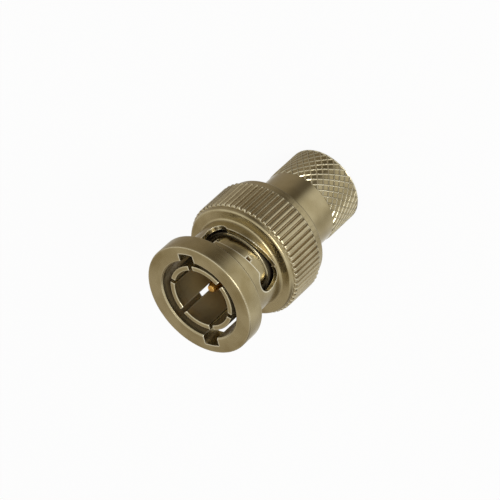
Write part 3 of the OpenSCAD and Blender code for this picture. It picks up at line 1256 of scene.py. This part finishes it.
@dataclass(frozen=True)
class Internals:
    """Bead, seal, spring pack and retaining ring inside the nut.

    Attributes:
        bead: Bead that carries the pin.
        seal: Seal in front of the shoulder.
        washer: Washer between the spring and the retaining ring.
        retainer: Ring in the nut's groove.
        spring: Strip of the wave spring before it is waved.
        shoulder_back: Depth of the shoulder's rear face, on which the spring bears.
        spring_swing: Height of a wave over the middle of the spring.
        spring_waves: Waves in a turn of the spring.
        spring_rest: Height of the spring at rest.
        spring_squeezed: Height of the spring with the nut drawn forward. Not used.
        retainer_gap_deg: Angle of the opening in the retaining ring.
    """

    bead: Ring = Ring("ptfe_bead", inner=0.95, outer=3.55, front=8.0, thickness=4.0, rounding=0.12)
    seal: Ring = Ring("seal_ring", inner=4.35, outer=4.79, front=8.55, thickness=0.8, rounding=0.15)
    washer: Ring = Ring("thrust_washer_ring", 4.75, 5.9, front=12.25, thickness=0.45, rounding=0.06)
    retainer: Ring = Ring("open_spring_ring", 5.33, 6.23, front=12.75, thickness=0.55, rounding=0.06)
    spring: Ring = Ring("wave_spring_strip", 4.75, 5.8, front=11.35, thickness=0.25, rounding=0.05)
    shoulder_back: float = 10.7
    spring_swing: float = 0.65
    spring_waves: int = 3
    spring_rest: float = 1.55
    spring_squeezed: float = 0.95
    retainer_gap_deg: float = 36.0

    def build_spring(self) -> Piece:
        """Models the wave spring: a flat ring lifted and lowered three times round.

        Returns:
            The finished spring, in millimetres.
        """
        piece = self.spring.build()
        middle = LENGTH - self.spring.front - self.spring.thickness / 2
        stations = RING_STEPS // self.spring_waves // 2

        def phase(co: Vector) -> int:
            """Gives the number of steps from the nearest crest of the wave."""
            share = (math.atan2(co.y, co.x) / FULL_TURN * self.spring_waves) % 1
            return round(min(share, 1 - share) * 2 * stations)

        lifts = [self.spring_swing * math.cos(math.pi * step / stations) for step in range(stations + 1)]
        with editing(piece):
            for step, lift in enumerate(lifts):
                select(Element.POINT, lambda co: phase(co) == step)
                bpy.ops.transform.translate(value=(0, 0, lift))
            bpy.ops.mesh.select_all(action="SELECT")
            rest = LENGTH - self.shoulder_back - self.spring_rest / 2
            bpy.ops.transform.translate(value=(0, 0, rest - middle))
        return piece

    def build_retainer(self) -> Piece:
        """Models the retaining ring, open where it is squeezed to go in.

        Returns:
            The finished ring, in millimetres.
        """
        ring = self.retainer
        piece = ring.build()
        gap = 2 * ring.outer * math.sin(math.radians(self.retainer_gap_deg / 2))
        saw(piece, (2 * ring.outer, gap, 4 * ring.thickness), (ring.outer, 0, LENGTH - ring.front))
        soften(piece, ring.rounding)
        return piece

    def fit(self) -> None:
        """Builds, dresses and places the pieces inside the nut."""
        steel = STEEL.make()
        bead, seal, washer = self.bead.build(), self.seal.build(), self.washer.build()
        retainer, spring = self.build_retainer(), self.build_spring()
        for piece, material, node, body, slot in (
            (bead, PTFE.make(), "insulator", Body.PLUG, Slot.PTFE),
            (seal, RUBBER.make(), "gasket", Body.PLUG, Slot.RUBBER),
            (washer, steel, "thrust_washer", Body.WASHER, Slot.SPRING),
            (retainer, steel, "retaining_ring", Body.NUT, Slot.SPRING),
            (spring, steel, "wave_spring", Body.PLUG, Slot.SPRING),
        ):
            dress(piece, material)
            place(piece, node, body)
        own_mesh(spring)


@dataclass(frozen=True)
class PhotoCamera:
    """Camera fitted to the photograph's outlines.

    Attributes:
        position_deg: Angle round the axis at which the camera stands.
        elevation_deg: Height of the camera above the horizon.
        roll_deg: Turn of the picture about the line of sight.
        distance_mm: Distance from the middle of the plug.
        pixels_per_mm: Scale at that distance.
        offset_px: Place of the plug's middle from the middle of the picture, right and down.
        picture_px: Width of the picture.
        sensor_mm: Width of the camera's sensor.
    """

    position_deg: float = 308.5
    elevation_deg: float = 38.416
    roll_deg: float = -132.608
    distance_mm: float = 385.85
    pixels_per_mm: float = 8.9922
    offset_px: tuple[float, float] = (12.64, -8.48)
    picture_px: float = 500.0
    sensor_mm: float = 36.0

    def place(self) -> None:
        """Makes the camera and hands it to the scene."""
        around, roll = math.radians(self.position_deg), math.radians(self.roll_deg)
        back = direction(self.position_deg, self.elevation_deg)
        right = Vector((-math.sin(around), math.cos(around), 0.0))
        up = back.cross(right)
        across = right * math.cos(roll) + up * math.sin(roll)
        upwards = up * math.cos(roll) - right * math.sin(roll)
        middle = Vector((0, 0, LENGTH / 2))
        eye = middle + back * self.distance_mm
        right_px, down_px = self.offset_px
        aim = middle - across * (right_px / self.pixels_per_mm) + upwards * (down_px / self.pixels_per_mm)
        depth = (eye - aim).normalized()
        across = (across - depth * across.dot(depth)).normalized()
        upwards = depth.cross(across)
        data = bpy.data.cameras.new("photo_camera")
        data.sensor_width = self.sensor_mm
        data.lens = self.pixels_per_mm * self.distance_mm / self.picture_px * self.sensor_mm
        data.clip_start, data.clip_end = 0.01, 10
        camera = bpy.data.objects.new("photo_camera", data)
        bpy.context.scene.collection.objects.link(camera)
        facing = Matrix((across, upwards, depth)).transposed().to_4x4()
        camera.matrix_world = Matrix.Translation(eye * MM) @ facing
        bpy.context.scene.camera = camera


@dataclass(frozen=True)
class Card:
    """A soft card in the room round the plug, which its metal reflects.

    Attributes:
        around_deg: Angle of its middle round the axis.
        above_deg: Height of its middle above the horizon.
        half_deg: Half width at which it has faded out.
        level: Brightness, where the white background has 1.
        tint: Colour of its light.
    """

    around_deg: float
    above_deg: float
    half_deg: float
    level: float
    tint: str

    @property
    def light(self) -> Colour:
        """Colour of the card at its brightness."""
        red, green, blue, _ = linear(self.tint)
        return red * self.level, green * self.level, blue * self.level, 1.0


@dataclass(frozen=True)
class Lamp:
    """A soft area lamp that faces the plug.

    Attributes:
        name: Name of the lamp.
        around_deg: Angle round the axis.
        above_deg: Height above the horizon.
        distance: Distance from the plug in metres.
        size: Width and height in metres.
        level: Brightness of its face, where the white background has 1.
    """

    name: str
    around_deg: float
    above_deg: float
    distance: float
    size: tuple[float, float]
    level: float

    def hang(self) -> None:
        """Adds the lamp to the scene."""
        data = bpy.data.lights.new(self.name, "AREA")
        data.shape, (data.size, data.size_y) = "RECTANGLE", self.size
        data.energy = self.level * math.pi * self.size[0] * self.size[1]
        lamp = bpy.data.objects.new(self.name, data)
        bpy.context.scene.collection.objects.link(lamp)
        back = direction(self.around_deg, self.above_deg)
        lamp.location = Vector((0, 0, LENGTH / 2 * MM)) + back * self.distance
        lamp.rotation_euler = back.to_track_quat("Z", "Y").to_euler()


@dataclass(frozen=True)
class Studio:
    """Pale floor, one soft key lamp near the camera, and a white room with five soft cards.

    Attributes:
        floor_size: Width of the floor in metres.
        floor_colour: Colour of the floor.
        floor_white: Share of plain white that the camera sees on the floor, over its shadow.
        diffuse_level: Level of the room's light on matt surfaces.
        key: The key lamp.
        cards: Cards round the plug, opposite the sides that the photograph shows dark or pale.
    """

    floor_size: float = 4.0
    floor_colour: str = "f4f3f0"
    floor_white: float = 0.93
    diffuse_level: float = 0.6
    key: Lamp = Lamp("key_lamp", around_deg=290, above_deg=28, distance=0.80, size=(0.36, 0.36), level=7.0)
    cards: tuple[Card, ...] = (
        Card(around_deg=179, above_deg=4, half_deg=53, level=0.26, tint="fff0dc"),
        Card(around_deg=350, above_deg=-49, half_deg=109, level=0.20, tint="fff3e4"),
        Card(around_deg=284, above_deg=-35, half_deg=45, level=1.0, tint="ffffff"),
        Card(around_deg=131, above_deg=24, half_deg=60, level=0.59, tint="fff6e8"),
        Card(around_deg=49, above_deg=-21, half_deg=60, level=0.45, tint="fff3e4"),
    )

    def set_floor(self) -> None:
        """Lays the floor, which is white to the camera apart from a soft shadow."""
        floor = primitive(bpy.ops.mesh.primitive_plane_add, size=self.floor_size)
        floor.name = "floor"
        material, tree = new_tree("matt_white_card")
        add = partial(add_node, tree)
        path = add("LightPath")
        share = {0: path.outputs["Is Camera Ray"], 1: self.floor_white}
        seen = add("Math", {"operation": "MULTIPLY"}, share)
        card = add("BsdfDiffuse", inputs={"Color": linear(self.floor_colour)})
        glow = add("Emission", inputs={"Color": WHITE, "Strength": 1.0})
        mixed = add("MixShader", inputs={0: seen.outputs[0], 1: card.outputs[0], 2: glow.outputs[0]})
        add("OutputMaterial", inputs={"Surface": mixed.outputs[0]})
        dress(floor, material)
        # Metal sees the room's cards below the horizon instead of the floor
        floor.visible_glossy = False

    def reflected_room(self, tree: Tree) -> Socket:
        """Mixes the colour of the room that metal reflects: white, with the soft cards in it.

        Args:
            tree: Node tree of the world.

        Returns:
            The colour in each direction.
        """
        add = partial(add_node, tree)
        facing = add("TexCoord").outputs["Generated"]
        colour: Socket | Colour = WHITE
        for card in self.cards:
            middle = direction(card.around_deg, card.above_deg)
            near = add("VectorMath", {"operation": "DOT_PRODUCT"}, {0: facing, 1: middle})
            rim = math.cos(math.radians(card.half_deg))
            reach = {0: near.outputs["Value"], "From Min": rim, "From Max": 1.0}
            fade = add("MapRange", {"interpolation_type": "SMOOTHERSTEP"}, reach)
            blend = {0: fade.outputs[0], 6: colour, 7: card.light}
            colour = add("Mix", {"data_type": "RGBA"}, blend).outputs[2]
        return colour

    def set_room(self) -> None:
        """Fills the world: white to the camera and to glass, white with soft cards to metal."""
        world = bpy.data.worlds.new("studio")
        bpy.context.scene.world = world
        world.use_nodes = True
        tree = world.node_tree
        tree.nodes.clear()
        add = partial(add_node, tree)
        path = add("LightPath")
        plain = add("Background", inputs={"Color": WHITE, "Strength": self.diffuse_level})
        room = add("Background", inputs={"Color": self.reflected_room(tree), "Strength": 1.0})
        backdrop = add("Background", inputs={"Color": WHITE, "Strength": 1.0})
        through = {0: path.outputs["Is Camera Ray"], 1: path.outputs["Is Transmission Ray"]}
        seen = add("Math", {"operation": "MAXIMUM"}, through)
        by_gloss = {0: path.outputs["Is Glossy Ray"], 1: plain.outputs[0], 2: room.outputs[0]}
        shiny = add("MixShader", inputs=by_gloss)
        mixed = add("MixShader", inputs={0: seen.outputs[0], 1: shiny.outputs[0], 2: backdrop.outputs[0]})
        add("OutputWorld", inputs={"Surface": mixed.outputs[0]})

    def build(self) -> None:
        """Sets up the whole studio."""
        self.set_floor()
        self.set_room()
        self.key.hang()
        bpy.context.scene.view_settings.view_transform = "Standard"


@dataclass(frozen=True)
class Plug:
    """The whole plug, piece by piece."""

    nut: CouplingNut = CouplingNut()
    shell: PlugBody = PlugBody()
    contact: OuterContact = OuterContact()
    pin: CentrePin = CentrePin()
    internals: Internals = Internals()

    def build(self) -> None:
        """Builds the pieces in order, from the outside in."""
        self.nut.fit()
        self.shell.fit()
        self.contact.fit()
        self.pin.fit()
        self.internals.fit()


def main() -> None:
    """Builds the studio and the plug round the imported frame."""
    logging.basicConfig(level=logging.INFO, format="%(name)s: %(message)s")
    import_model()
    PhotoCamera().place()
    Studio().build()
    Plug().build()


if __name__ == "__main__":
    main()
